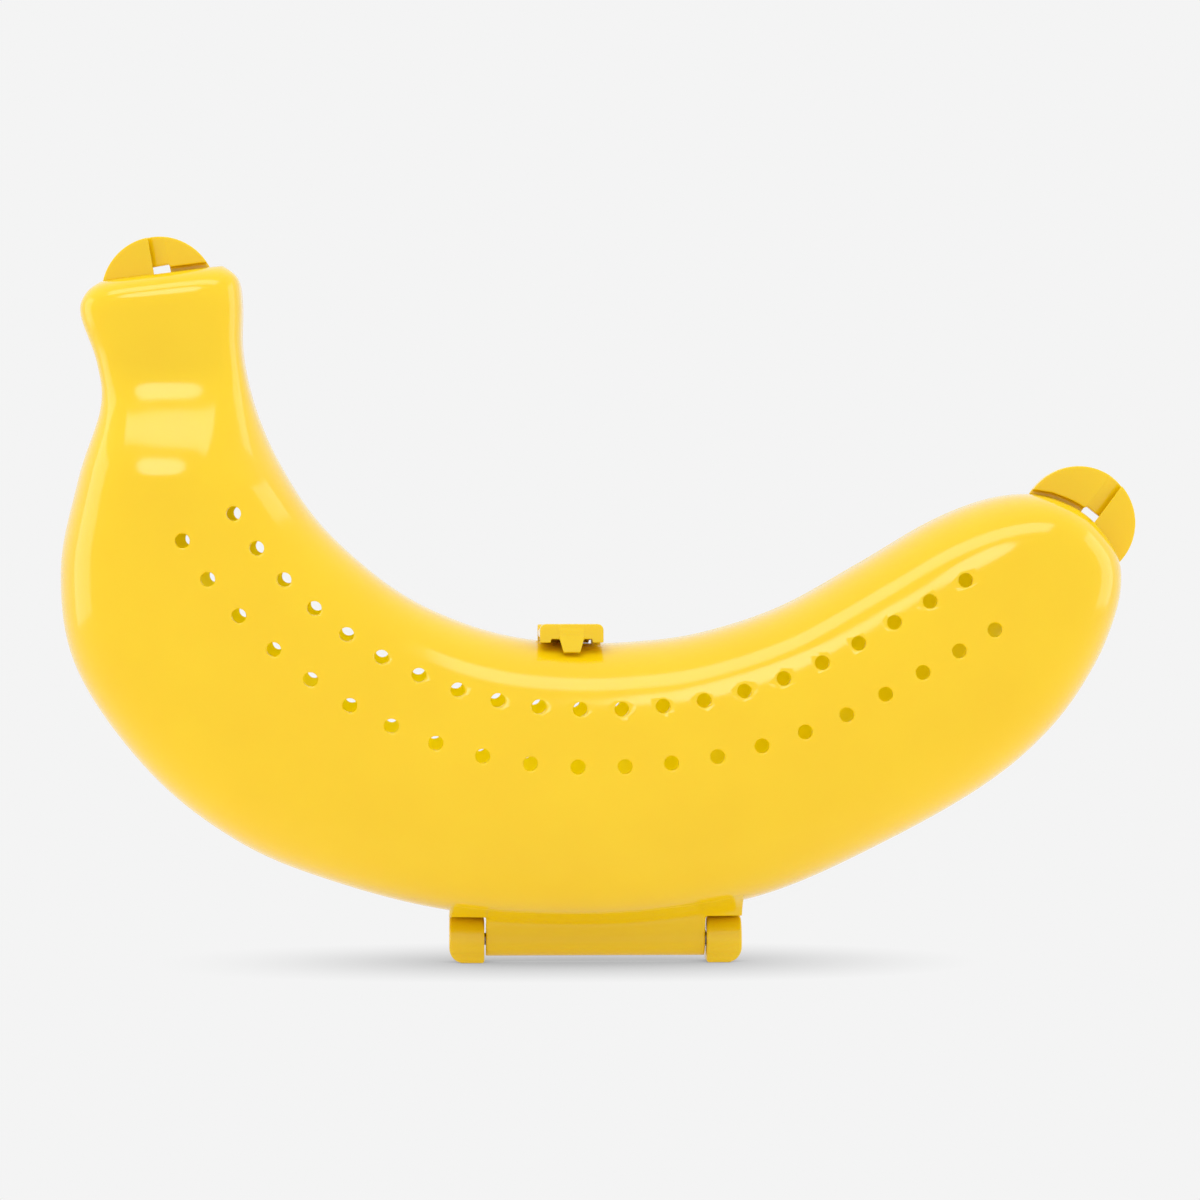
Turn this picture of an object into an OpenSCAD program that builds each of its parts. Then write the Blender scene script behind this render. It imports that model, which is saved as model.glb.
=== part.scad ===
// Banana carrying case: two hollow halves hinged along the convex edge and held shut by a clip on the
// concave edge. It stands on its hinge feet, with Z up, X along the case and the seam in the plane Y = 0.
// The front half is on the -Y side. All sizes in millimetres.

/* [Case] */
// Length of the banana outline
case_len = 211.4; // [195:0.1:235]
// Depth of each half at the belly
half_depth = 24; // [21:0.5:28]
// Depth of each half at the stem
stem_depth = 12.5; // [10.5:0.5:15]
// Wall of both halves
wall = 1.8; // [1.6:0.1:2.2]
// Squareness of the body section, 2 is an ellipse
body_power = 2.6; // [2.3:0.1:3]
// Squareness of the stem section
stem_power = 4; // [3:0.1:5]

/* [Seam lip] */
// Height of the lip of the rear half
lip_height = 1.2; // [0.8:0.1:2]
// Thickness of the lip
lip_t = 0.7; // [0.6:0.05:0.8]
// Clearance all round the lip
lip_gap = 0.3; // [0.2:0.05:0.4]

/* [Vents] */
// Vent hole diameter
vent_d = 2.8; // [2:0.1:4]
// Pairs of vent holes in each half
vent_pairs = 21; // [11:1:21]
// Distance of the first row from the concave edge
vent_row_1 = 12.3; // [11:0.1:15]
// Distance of the second row from the concave edge
vent_row_2 = 23.5; // [20:0.1:27]

/* [Hinge] */
// Middle of the hinge along the case
hinge_x = -1; // [-6:0.5:4]
// Width over both outer knuckles
hinge_w = 58.4; // [50:0.1:60]
// Width of each outer knuckle
knuckle_w = 7; // [6.5:0.1:8]
// Height of the hinge axis over the feet
axis_height = 4.6; // [4.6:0.1:5.5]
// Distance from the hinge axis to the lowest edge of the halves
axis_to_edge = 4.4; // [4.4:0.1:5]
// Outer radius of the middle barrel
barrel_r = 3.4; // [3:0.1:3.6]
// Hinge pin diameter
pin_d = 2.4; // [2:0.1:3]
// Running clearance of the pin in the barrel, on the radius
pin_gap = 0.05; // [0.03:0.01:0.1]
// How deep the pin sits in each knuckle
pin_seat = 4.5; // [3:0.1:5]
// Gap between barrel and knuckles
knuckle_gap = 0.5; // [0.3:0.05:0.7]
// Half the depth of the feet
foot_half = 3.8; // [3.2:0.1:4]
// Rounding of the outer lower corners of the feet
foot_round = 3; // [1.5:0.1:3.5]

/* [Tabs] */
// Radius of the finger tabs
tab_r = 11.4; // [10:0.1:12]
// Thickness of the finger tabs
tab_t = 3; // [2.4:0.1:4]
// Gap between the two tabs of a pair
tab_split = 0.5; // [0.4:0.1:0.8]
// Gap under each tab where it passes over the other half
tab_under = 1.2; // [0.8:0.1:1.5]
// Width of the bevel beside the split
tab_bevel = 2.8; // [2:0.1:3.5]
// How far the rear tab passes behind the front tab at the split
tab_lap = 1.4; // [1:0.1:2]
// Thickness of the rear tab where it passes behind the front tab
lap_t = 1.7; // [1.4:0.05:1.8]

/* [Latch] */
// Width of the latch clip
clip_w = 12.6; // [11.5:0.1:15]
// Thickness of the latch strap
strap_t = 1.9; // [1.6:0.1:2.2]
// Diameter of the latch pivot stubs
stub_d = 1.8; // [1.6:0.1:2]
// Reach of the clip in front of the seam
clip_reach = 12.6; // [11.5:0.1:13.2]
// Clearance between clip and catch
catch_gap = 0.4; // [0.35:0.05:0.5]

/* [Hidden] */
$fn = 48;
skin_colour = "#f7cd2d";
metal_colour = "#b8babd";

// Sections from the stem end to the tip end at the design length, each the concave edge point
// and the convex edge point as x, z
sections = [
  [-75, 138.9, -99.5, 135.7],
  [-72, 136.3, -102.3, 133.2],
  [-71.2, 131, -103.2, 129],
  [-71.2, 123, -100, 119.5],
  [-70, 115.5, -99.3, 110.5],
  [-67.5, 107.5, -103.7, 96.5],
  [-63.5, 99, -107.3, 78],
  [-57, 89, -104, 58.5],
  [-48, 80, -89.5, 38],
  [-38, 72.7, -71.5, 24],
  [-27, 67.7, -52, 16],
  [-16.5, 64.9, -30.5, 10.6],
  [-5.5, 63.8, -9, 9],
  [6.5, 64, 12, 9.8],
  [20, 65.8, 34, 14],
  [36, 71, 57, 24.2],
  [52, 79.8, 77, 35.6],
  [66, 88, 90, 46.8],
  [77, 92.4, 98.5, 59],
  [86, 93.6, 103, 70],
  [93, 91.8, 104, 77.5],
  [98, 88.9, 102.8, 82.6]
];
design_len = 211.4;
design_low = 9;
size = case_len / design_len;
last = len(sections) - 1;
// Sections between which the stem end rounds off, the neck swells and the tip rounds off
stem_round_to = 2;
neck_from = 3.3;
neck_to = 5.7;
tip_round_from = 16.5;
// Shares of the depth that stay flat at the stem end and at the tip end
stem_flat = 0.4;
tip_flat = 0.12;
// Share of a section step that one wall takes at the two ends, from the length of those steps
end_step = 2.25;
end_inset = wall / (end_step * size);
// Heights between which the depth swells from the stem to the body, at the design length, the section below
// which all is body, and how much lower the hollow swells, in millimetres to a millimetre of wall
swell_top = 119.2;
swell_low = 93.2;
swell_end = 8;
swell_delay = 0.9;
// Ledge left inside the lip, and where the lip and the rebate that it fits start from the outside
lip_ledge = 0.1;
lip_from = wall - lip_ledge - lip_t;
rebate_from = lip_from - lip_gap;
rebate_depth = lip_height + lip_gap;

// Outline: a smooth curve through the section points, scaled to the case length
function clamp_row(i) = sections[max(0, min(last, i))];
function spline(v) =
  let (
    i = min(floor(v), last - 1),
    f = v - i,
    a = clamp_row(i - 1),
    b = clamp_row(i),
    c = clamp_row(i + 1),
    d = clamp_row(i + 2)
  )
  0.5 * (2 * b + (c - a) * f + (2 * a - 5 * b + 4 * c - d) * f * f + (3 * b - a - 3 * c + d) * f * f * f);
function placed(x, z) = [size * x, size * (z - design_low) + axis_height + axis_to_edge];
function concave(v) = let (s = spline(v)) placed(s[0], s[1]);
function convex(v) = let (s = spline(v)) placed(s[2], s[3]);
function across(v) = let (d = convex(v) - concave(v)) d / norm(d);

// Depth and squareness along the case
function ease(u) = let (c = max(0, min(1, u))) c * c * (3 - 2 * c);
function neck(v) = ease((v - neck_from) / (neck_to - neck_from));
function round_off(u, flat) = let (q = u * sqrt(1 - flat * flat)) sqrt(max(0, 1 - q * q));
function end_factor(v, short) =
  v < stem_round_to ? round_off((stem_round_to - v) / (stem_round_to - short), stem_flat) :
  v > tip_round_from ? round_off((v - tip_round_from) / (last - short - tip_round_from), tip_flat) : 1;
function swell(v, z, inset) =
  let (top = placed(0, swell_top)[1], low = placed(0, swell_low)[1])
  v > swell_end ? 1 : ease((top - z - swell_delay * inset) / (top - low));
function depth(v, z, inset, from) =
  (stem_depth + (half_depth - stem_depth) * swell(v, z, inset) - inset - from)
  * end_factor(v, inset > 0 ? end_inset : 0);
function power(v) = stem_power + (body_power - stem_power) * neck(v);

// One point of a skin: v runs along the case, turn from 0 at the concave edge to 180 at the convex edge,
// and the skin starts at a distance from the seam plane
function skin(v, turn, inset, from) =
  let (
    e = 2 / power(v),
    a = concave(v) + inset * across(v),
    b = convex(v) - inset * across(v),
    c = cos(turn),
    p = 0.5 - 0.5 * sign(c) * pow(abs(c), e),
    at = a + (b - a) * p
  )
  [at[0], -from - depth(v, at[1], inset, from) * pow(max(0, sin(turn)), e), at[1]];

// Rows and columns of the skins, closer together where the ends round off
columns = 18;
stem_turn = asin(stem_flat);
tip_turn = acos(tip_flat);
stem_rows = 6;
tip_rows = 10;
rows = concat(
  [for (k = [0:stem_rows - 1])
    stem_round_to * (1 - cos(stem_turn + (90 - stem_turn) * k / stem_rows) / cos(stem_turn))],
  [for (v = [stem_round_to:0.5:tip_round_from - 0.5]) v],
  [for (k = [0:tip_rows])
    tip_round_from + (last - tip_round_from) * sin(tip_turn * k / tip_rows) / sin(tip_turn)]
);
function inner_row(v) =
  v < stem_round_to ? end_inset + v * (stem_round_to - end_inset) / stem_round_to :
  v > tip_round_from ? tip_round_from
    + (v - tip_round_from) * (last - end_inset - tip_round_from) / (last - tip_round_from) : v;
turns = [for (j = [0:columns]) 180 * j / columns];
across_count = columns + 1;
along_count = len(rows);
outer_points = [for (v = rows, t = turns) skin(v, t, 0, 0)];
function at(i, j) = i * across_count + j;
// Faces of a skin between two rows, with a flat end at each of them
function skin_faces(from, to) = concat(
  [for (i = [from:to - 1], j = [0:columns - 1])
    each [[at(i, j), at(i + 1, j), at(i, j + 1)], [at(i + 1, j), at(i + 1, j + 1), at(i, j + 1)]]],
  [[for (j = [0:columns]) at(from, j)], [for (j = [columns:-1:0]) at(to, j)]]
);
// The seam edge as one closed run of points, and one of its points moved inwards to another height
seam_run = concat(
  [for (i = [0:along_count - 1]) at(i, columns)],
  [for (i = [along_count - 1:-1:0]) at(i, 0)]
);
function seam_point(n, inset, y) =
  let (
    v = rows[floor(n / across_count)],
    p = skin(v + (inner_row(v) - v) * inset / wall, turns[n % across_count], inset, 0)
  )
  [p[0], y, p[2]];
// Rows that bound the stretches used for trimming
stem_stretch = [0, 11];
middle_stretch = [16, 34];
tip_stretch = [along_count - 14, along_count - 1];

// Vent places: the first row is stepped off evenly along its own curve, the second stands beside it
vent_from = 6.35;
vent_to = 16.9;
function beside(v, away) = concave(v) + away * across(v);
vent_steps = [for (n = [0:120]) vent_from + (vent_to - vent_from) * n / 120];
vent_run = [
  for (n = 0, s = 0; n < len(vent_steps);
       s = s + (n + 1 < len(vent_steps) ?
         norm(beside(vent_steps[n + 1], vent_row_1) - beside(vent_steps[n], vent_row_1)) : 0), n = n + 1)
    [s, vent_steps[n]]
];
vent_places = [
  for (k = [0:vent_pairs - 1]) lookup(vent_run[len(vent_run) - 1][0] * k / (vent_pairs - 1), vent_run)
];

// Hinge
hinge_left = hinge_x - hinge_w / 2;
hinge_right = hinge_x + hinge_w / 2;
barrel_left = hinge_left + knuckle_w + knuckle_gap;
barrel_right = hinge_right - knuckle_w - knuckle_gap;
foot_edge = 0.8;
// Reach of the knuckles round the axis, and the pocket that lets them turn
knuckle_r = axis_height;
knuckle_reach = max(knuckle_r, norm([foot_half - foot_edge, axis_height - foot_edge]) + foot_edge);
pocket_gap = 0.3;
pocket_r = knuckle_reach + pocket_gap;
leaf_reach = 7.5;
seam_gap = 0.3;
leaf_bury = 7;
leaf_top = axis_height + axis_to_edge + leaf_bury;
leaf_shoulder = 3;

// Tabs: middle of the disc, direction outwards, offset of the split
stem_tab = placed(-87.8, 133.4);
stem_tab_turn = 100;
stem_notch_top = 5.4;
tip_tab = placed(96, 87.8);
tip_tab_turn = 53;
tip_tab_split = 2.2;
tip_notch_top = 3.6;
tab_notch_w = 3;

// Latch: the concave edge where it sits, its pivot behind the seam
latch_at = 11.95;
latch_x = concave(latch_at)[0];
edge_z = concave(latch_at)[1];
pivot_y = 5;
pivot_rise = 1.7;
pivot_z = edge_z + pivot_rise;
strap_rise = 3.3;
strap_top = edge_z + strap_rise;
strap_low = strap_top - strap_t;
bar_t = 1.7;
bar_rise = 1.1;
bar_low = edge_z + bar_rise;
clip_round = 1.2;
leg_w = 2.2;
leg_rise = 0.4;
leg_low = edge_z + leg_rise;
catch_w = 3;
catch_t = 2.4;
tongue_reach = 0.2;
tongue_tip = clip_reach + tongue_reach;
tongue_drop = 1.7;
tongue_low = edge_z - tongue_drop;
tongue_root_w = 4.8;
tongue_end_w = 3.2;
tongue_bite = 0.6;
catch_front = clip_reach - tongue_bite - catch_gap;
tongue_rise = 0.1;
tongue_root_t = 1.5;
tongue_end_t = 0.3;
tongue_lean = 1.1;
clip_barrel_r = 1.5;
ear_r = 1.9;
ear_w = 1.9;
ear_gap = 0.4;
strap_back_gap = 0.6;
strap_back = pivot_y - ear_r - strap_back_gap;
stub_gap = 0.05;
barrel_half = clip_w / 2 - ear_w - ear_gap;
// Depth to which pieces moulded on to the halves are drawn into them before they are trimmed
bury = 4;

// A length along X of the outline drawn in Y and Z
module along_x(from, to) {
  translate([from, 0, 0])
    rotate([90, 0, 90])
      linear_extrude(to - from)
        children();
}

// A depth along Y of the outline drawn in X and Z
module along_y(from, to) {
  translate([0, to, 0])
    rotate([90, 0, 0])
      linear_extrude(to - from)
        children();
}

module rod_x(from, to, r, y, z) {
  translate([from, y, z])
    rotate([0, 90, 0])
      cylinder(r = r, h = to - from);
}

// The front half without its hollow, for trimming what is moulded on to it, between two of its rows
module front_blank(from, to) {
  seam_faces = [
    for (i = [from:to - 1])
      each [[at(i, 0), at(i, columns), at(i + 1, columns)], [at(i, 0), at(i + 1, columns), at(i + 1, 0)]]
  ];
  polyhedron(points = outer_points, faces = concat(skin_faces(from, to), seam_faces), convexity = 6);
}

module rear_blank(from, to) {
  mirror([0, 1, 0])
    front_blank(from, to);
}

// The wall of one half, drawn as the front half: the outer skin, the steps of its seam edge from the outside
// inwards, each as inset and height, and the hollow, which starts at a distance from the seam plane
module half_wall(steps, hollow_from) {
  run = len(seam_run);
  inner_from = len(outer_points);
  steps_from = 2 * inner_from;
  inner_points = [for (v = rows, t = turns) skin(inner_row(v), t, wall, hollow_from)];
  step_points = [for (s = steps, n = seam_run) seam_point(n, s[0], s[1])];
  outer_faces = skin_faces(0, along_count - 1);
  inner_faces = [for (f = outer_faces) [for (n = [len(f) - 1:-1:0]) f[n] + inner_from]];
  loops = concat(
    [seam_run],
    [for (s = [0:len(steps) - 1]) [for (n = [0:run - 1]) steps_from + s * run + n]],
    [[for (n = seam_run) n + inner_from]]
  );
  rim_faces = [
    for (s = [0:len(loops) - 2], n = [0:run - 1])
      let (m = (n + 1) % run, a = loops[s][n], b = loops[s][m], c = loops[s + 1][m], d = loops[s + 1][n])
      each [[a, b, c], [a, c, d]]
  ];
  polyhedron(
    points = concat(outer_points, inner_points, step_points),
    faces = concat(outer_faces, inner_faces, rim_faces),
    convexity = 8
  );
}

module vents() {
  for (v = vent_places)
    for (away = [vent_row_1, vent_row_2])
      translate([beside(v, away)[0], -half_depth - 1, beside(v, away)[1]])
        rotate([-90, 0, 0])
          cylinder(d = vent_d, h = half_depth - 7);
}

module knuckle_pockets() {
  rod_x(hinge_left - 1, barrel_left, pocket_r, 0, axis_height);
  rod_x(barrel_right, hinge_right + 1, pocket_r, 0, axis_height);
}

module front_shell() {
  color(skin_colour)
    difference() {
      half_wall([[rebate_from, 0], [rebate_from, -rebate_depth]], rebate_depth);
      vents();
      knuckle_pockets();
    }
}

// The lip stands on the seam edge of the rear half and reaches into the rebate of the front half
module rear_shell() {
  color(skin_colour)
    mirror([0, 1, 0])
      difference() {
        half_wall([[lip_from, 0], [lip_from, lip_height], [wall - lip_ledge, lip_height]], 0);
        vents();
      }
}

// Web and barrel that carry the front half on the pin
module front_hinge_leaf() {
  color(skin_colour)
    difference() {
      union() {
        along_x(hinge_left, hinge_right)
          polygon([
            [-seam_gap, axis_height],
            [-barrel_r, axis_height],
            [-leaf_reach, axis_height + axis_to_edge + leaf_shoulder],
            [-leaf_reach, leaf_top],
            [-seam_gap, leaf_top]
          ]);
        rod_x(barrel_left, barrel_right, barrel_r, 0, axis_height);
      }
      front_blank(middle_stretch[0], middle_stretch[1]);
      knuckle_pockets();
      rod_x(barrel_left - 1, barrel_right + 1, pin_d / 2 + pin_gap, 0, axis_height);
    }
}

// Outer knuckle with its foot and the arm up to the rear half, drawn with its outer end at X = 0
module knuckle_body() {
  intersection() {
    along_x(0, knuckle_w) {
      translate([0, axis_height])
        circle(r = knuckle_r);
      translate([-foot_half, foot_edge])
        square([2 * foot_half, axis_height - foot_edge]);
      translate([foot_edge - foot_half, 0])
        square([2 * (foot_half - foot_edge), axis_height]);
      for (side = [-1, 1])
        translate([side * (foot_half - foot_edge), foot_edge])
          circle(r = foot_edge);
      polygon([
        [seam_gap, axis_height],
        [foot_half, axis_height],
        [leaf_reach, axis_height + axis_to_edge + leaf_shoulder],
        [leaf_reach, leaf_top],
        [seam_gap, leaf_top]
      ]);
    }
    along_y(-leaf_reach - 5, leaf_reach + 5) {
      translate([foot_round, 0])
        square([knuckle_w - foot_round, leaf_top + 1]);
      translate([0, foot_round])
        square([knuckle_w, leaf_top + 1 - foot_round]);
      translate([foot_round, foot_round])
        circle(r = foot_round);
    }
  }
}

module left_knuckle() {
  color(skin_colour)
    difference() {
      translate([hinge_left, 0, 0])
        knuckle_body();
      rear_blank(middle_stretch[0], middle_stretch[1]);
      rod_x(hinge_left + knuckle_w - pin_seat, barrel_left, pin_d / 2, 0, axis_height);
    }
}

module right_knuckle() {
  color(skin_colour)
    difference() {
      translate([hinge_right, 0, 0])
        mirror([1, 0, 0])
          knuckle_body();
      rear_blank(middle_stretch[0], middle_stretch[1]);
      rod_x(barrel_right, hinge_right - knuckle_w + pin_seat, pin_d / 2, 0, axis_height);
    }
}

module hinge_pin() {
  color(metal_colour)
    rod_x(hinge_left + knuckle_w - pin_seat, hinge_right - knuckle_w + pin_seat, pin_d / 2, 0, axis_height);
}

// The part of a tab disc over an outline drawn in X and Y, in the tab's own axes: X along the end from the
// concave to the convex side, Y towards the rear, Z outwards
module tab_disc() {
  intersection() {
    rotate([90, 0, 0])
      cylinder(r = tab_r, h = tab_t, center = true);
    linear_extrude(4 * tab_r, center = true)
      children();
  }
}

// The front tab has a step in its back for the lap of the rear tab
module front_tab(split) {
  edge = split + tab_split / 2;
  tab_disc()
    polygon([
      [edge, -tab_t / 2],
      [2 * tab_r, -tab_t / 2],
      [2 * tab_r, tab_t / 2],
      [edge + tab_lap + tab_split, tab_t / 2],
      [edge + tab_lap + tab_split, tab_t / 2 - lap_t - tab_split],
      [edge, tab_t / 2 - lap_t - tab_split]
    ]);
}

// The rear tab bevels down to its lap, and a notch beside the split opens on to the end of the case
module rear_tab(split, notch_top) {
  edge = split + tab_split / 2;
  difference() {
    tab_disc()
      polygon([
        [-2 * tab_r, -tab_t / 2],
        [edge - tab_split - tab_bevel, -tab_t / 2],
        [edge, tab_t / 2 - lap_t],
        [edge + tab_lap, tab_t / 2 - lap_t],
        [edge + tab_lap, tab_t / 2],
        [-2 * tab_r, tab_t / 2]
      ]);
    translate([split - tab_notch_w, -tab_t, -tab_r])
      cube([tab_notch_w + 2 * tab_lap, 2 * tab_t, tab_r + notch_top]);
  }
}

// Puts a tab drawn in its own axes on to an end of the case
module on_end(where, turn) {
  translate([where[0], 0, where[1]])
    rotate([0, 90 - turn, 0])
      children();
}

// Room for the other half under a tab: that half moved outwards, and past the seam by the seam gap
module lifted(turn, past) {
  translate([tab_under * cos(turn), past, tab_under * sin(turn)])
    children();
}

module front_stem_tab() {
  color(skin_colour)
    difference() {
      on_end(stem_tab, stem_tab_turn)
        mirror([1, 0, 0])
          front_tab(0);
      front_blank(stem_stretch[0], stem_stretch[1]);
      lifted(stem_tab_turn, -seam_gap)
        rear_blank(stem_stretch[0], stem_stretch[1]);
    }
}

module rear_stem_tab() {
  color(skin_colour)
    difference() {
      on_end(stem_tab, stem_tab_turn)
        mirror([1, 0, 0])
          rear_tab(0, stem_notch_top);
      rear_blank(stem_stretch[0], stem_stretch[1]);
      lifted(stem_tab_turn, seam_gap)
        front_blank(stem_stretch[0], stem_stretch[1]);
    }
}

module front_tip_tab() {
  color(skin_colour)
    difference() {
      on_end(tip_tab, tip_tab_turn)
        front_tab(tip_tab_split);
      front_blank(tip_stretch[0], tip_stretch[1]);
      lifted(tip_tab_turn, -seam_gap)
        rear_blank(tip_stretch[0], tip_stretch[1]);
    }
}

module rear_tip_tab() {
  color(skin_colour)
    difference() {
      on_end(tip_tab, tip_tab_turn)
        rear_tab(tip_tab_split, tip_notch_top);
      rear_blank(tip_stretch[0], tip_stretch[1]);
      lifted(tip_tab_turn, seam_gap)
        front_blank(tip_stretch[0], tip_stretch[1]);
    }
}

// Ridge on the front half that the clip's bar drops in front of
module latch_catch() {
  color(skin_colour)
    difference() {
      translate([latch_x - catch_w / 2, -catch_front, edge_z - bury])
        cube([catch_w, catch_t, bury + bar_low - edge_z - catch_gap]);
      front_blank(middle_stretch[0], middle_stretch[1]);
    }
}

// Two ears on the rear half that hold the clip's stubs
module latch_ears() {
  color(skin_colour)
    difference() {
      for (side = [-1, 1])
        translate([latch_x + side * (clip_w / 2 - ear_w / 2) - ear_w / 2, 0, 0])
          along_x(0, ear_w) {
            translate([pivot_y, pivot_z])
              circle(r = ear_r);
            translate([pivot_y - ear_r, edge_z - bury])
              square([2 * ear_r, pivot_z - edge_z + bury]);
          }
      rear_blank(middle_stretch[0], middle_stretch[1]);
      rod_x(latch_x - clip_w, latch_x + clip_w, stub_d / 2 + stub_gap, pivot_y, pivot_z);
    }
}

// End outline of the clip in X and Z down to a height, with its two upper corners rounded
module clip_outline(low) {
  translate([latch_x - clip_w / 2, low])
    square([clip_w, strap_top - clip_round - low]);
  translate([latch_x - clip_w / 2 + clip_round, low])
    square([clip_w - 2 * clip_round, strap_top - low]);
  for (side = [-1, 1])
    translate([latch_x + side * (clip_w / 2 - clip_round), strap_top - clip_round])
      circle(r = clip_round);
}

// Clip: barrel with stubs, strap over the seam, bar with two end legs, thumb tongue in front of the catch
module clip_body() {
  rod_x(latch_x - barrel_half, latch_x + barrel_half, clip_barrel_r, pivot_y, pivot_z);
  rod_x(latch_x - clip_w / 2, latch_x + clip_w / 2, stub_d / 2, pivot_y, pivot_z);
  translate([latch_x - barrel_half, 0, strap_low])
    cube([2 * barrel_half, pivot_y, strap_t]);
  along_y(-clip_reach, strap_back)
    clip_outline(strap_low);
  along_y(-clip_reach, bar_t - clip_reach)
    clip_outline(bar_low);
  for (side = [-1, 1])
    translate([latch_x + side * (clip_w - leg_w) / 2 - leg_w / 2, -clip_reach, leg_low])
      cube([leg_w, bar_t, strap_low - leg_low]);
  intersection() {
    along_x(latch_x - clip_w / 2, latch_x + clip_w / 2)
      polygon([
        [tongue_bite - clip_reach, bar_low + tongue_rise],
        [-tongue_tip, tongue_low],
        [-tongue_tip - tongue_lean, tongue_low + tongue_end_t],
        [-clip_reach, bar_low + tongue_root_t],
        [tongue_bite - clip_reach, bar_low + tongue_root_t]
      ]);
    along_y(-tongue_tip - 1, 0)
      polygon([
        [latch_x - tongue_root_w / 2, strap_top],
        [latch_x + tongue_root_w / 2, strap_top],
        [latch_x + tongue_root_w / 2, bar_low],
        [latch_x + tongue_end_w / 2, tongue_low],
        [latch_x - tongue_end_w / 2, tongue_low],
        [latch_x - tongue_root_w / 2, bar_low]
      ]);
  }
}

// Its legs and tongue end just above the front half
module latch_clip() {
  color(skin_colour)
    difference() {
      clip_body();
      translate([0, 0, catch_gap])
        front_blank(middle_stretch[0], middle_stretch[1]);
    }
}

front_shell();
front_hinge_leaf();
front_stem_tab();
front_tip_tab();
latch_catch();
rear_shell();
left_knuckle();
right_knuckle();
hinge_pin();
rear_stem_tab();
rear_tip_tab();
latch_ears();
latch_clip();
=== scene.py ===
import math

import bpy
import numpy as np
from mathutils import Matrix, Vector


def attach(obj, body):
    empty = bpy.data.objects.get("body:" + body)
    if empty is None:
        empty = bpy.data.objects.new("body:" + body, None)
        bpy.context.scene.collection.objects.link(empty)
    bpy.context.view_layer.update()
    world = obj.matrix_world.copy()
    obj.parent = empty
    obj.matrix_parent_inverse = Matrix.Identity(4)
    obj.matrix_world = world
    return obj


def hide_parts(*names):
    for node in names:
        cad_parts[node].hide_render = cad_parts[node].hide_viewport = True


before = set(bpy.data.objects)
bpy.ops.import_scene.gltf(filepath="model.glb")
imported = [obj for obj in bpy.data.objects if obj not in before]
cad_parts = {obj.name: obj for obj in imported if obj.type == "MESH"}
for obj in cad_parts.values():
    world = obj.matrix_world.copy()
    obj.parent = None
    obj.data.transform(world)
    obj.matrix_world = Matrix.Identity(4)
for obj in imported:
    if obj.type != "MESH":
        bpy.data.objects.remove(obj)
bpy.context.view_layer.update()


# Front half of the case: one thin hollow shell with a banana's outline, injection moulded in
# high-gloss yellow plastic. Its seam edge has a rebate for the lip of the rear half, and two rows
# of vents are moulded through it.
mm = 0.001
wall = 1.8
half_depth = 24.0
stem_depth = 12.5
# Powers of the rounded sections: the stem is squarer than the body
body_power = 2.6
stem_power = 4.0
# Concave edge x, z and convex edge x, z of each section, from the stem end to the tip end, in
# millimetres. Places v along the case are counted in these sections.
sections = np.array([
    [-75, 138.9, -99.5, 135.7], [-72, 136.3, -102.3, 133.2], [-71.2, 131, -103.2, 129],
    [-71.2, 123, -100, 119.5], [-70, 115.5, -99.3, 110.5], [-67.5, 107.5, -103.7, 96.5],
    [-63.5, 99, -107.3, 78], [-57, 89, -104, 58.5], [-48, 80, -89.5, 38], [-38, 72.7, -71.5, 24],
    [-27, 67.7, -52, 16], [-16.5, 64.9, -30.5, 10.6], [-5.5, 63.8, -9, 9], [6.5, 64, 12, 9.8],
    [20, 65.8, 34, 14], [36, 71, 57, 24.2], [52, 79.8, 77, 35.6], [66, 88, 90, 46.8],
    [77, 92.4, 98.5, 59], [86, 93.6, 103, 70], [93, 91.8, 104, 77.5], [98, 88.9, 102.8, 82.6],
])
last = len(sections) - 1
# Where the stem end rounds off, where the neck turns from stem to body, and where the tip end
# rounds off
stem_round_to = 2.0
neck_from = 3.3
neck_to = 5.7
tip_round_from = 16.5
# Heights between which the stem swells to the depth of the body, how much later the hollow does,
# and the place past which the body has its full depth
swell_top = 119.2
swell_low = 93.2
swell_delay = 0.9
swell_end = 8
# Share of the depth that each end is still left with where it closes flat
stem_flat = 0.4
tip_flat = 0.12
# The hollow stops short of both ends by about the wall, counted in the sections' spacing there
end_spacing = 2.25
end_inset = wall / end_spacing


def outline(v):
    """Concave and convex edge points at places v along the case, counted in sections."""
    i = np.minimum(np.floor(v).astype(int), last - 1)
    f = (v - i)[:, None]
    a, b, c, d = (sections[np.clip(i + k, 0, last)] for k in (-1, 0, 1, 2))
    s = 0.5 * (
        2 * b + (c - a) * f + (2 * a - 5 * b + 4 * c - d) * f**2 + (3 * b - a - 3 * c + d) * f**3)
    return s[:, :2], s[:, 2:]


def ease(u):
    """A smooth step from 0 to 1."""
    u = np.clip(u, 0, 1)
    return u * u * (3 - 2 * u)


def roundness(v):
    """Exponent of the section's curve, from the square stem to the round body."""
    neck = ease((v - neck_from) / (neck_to - neck_from))
    return 2 / (stem_power + (body_power - stem_power) * neck)


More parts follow.
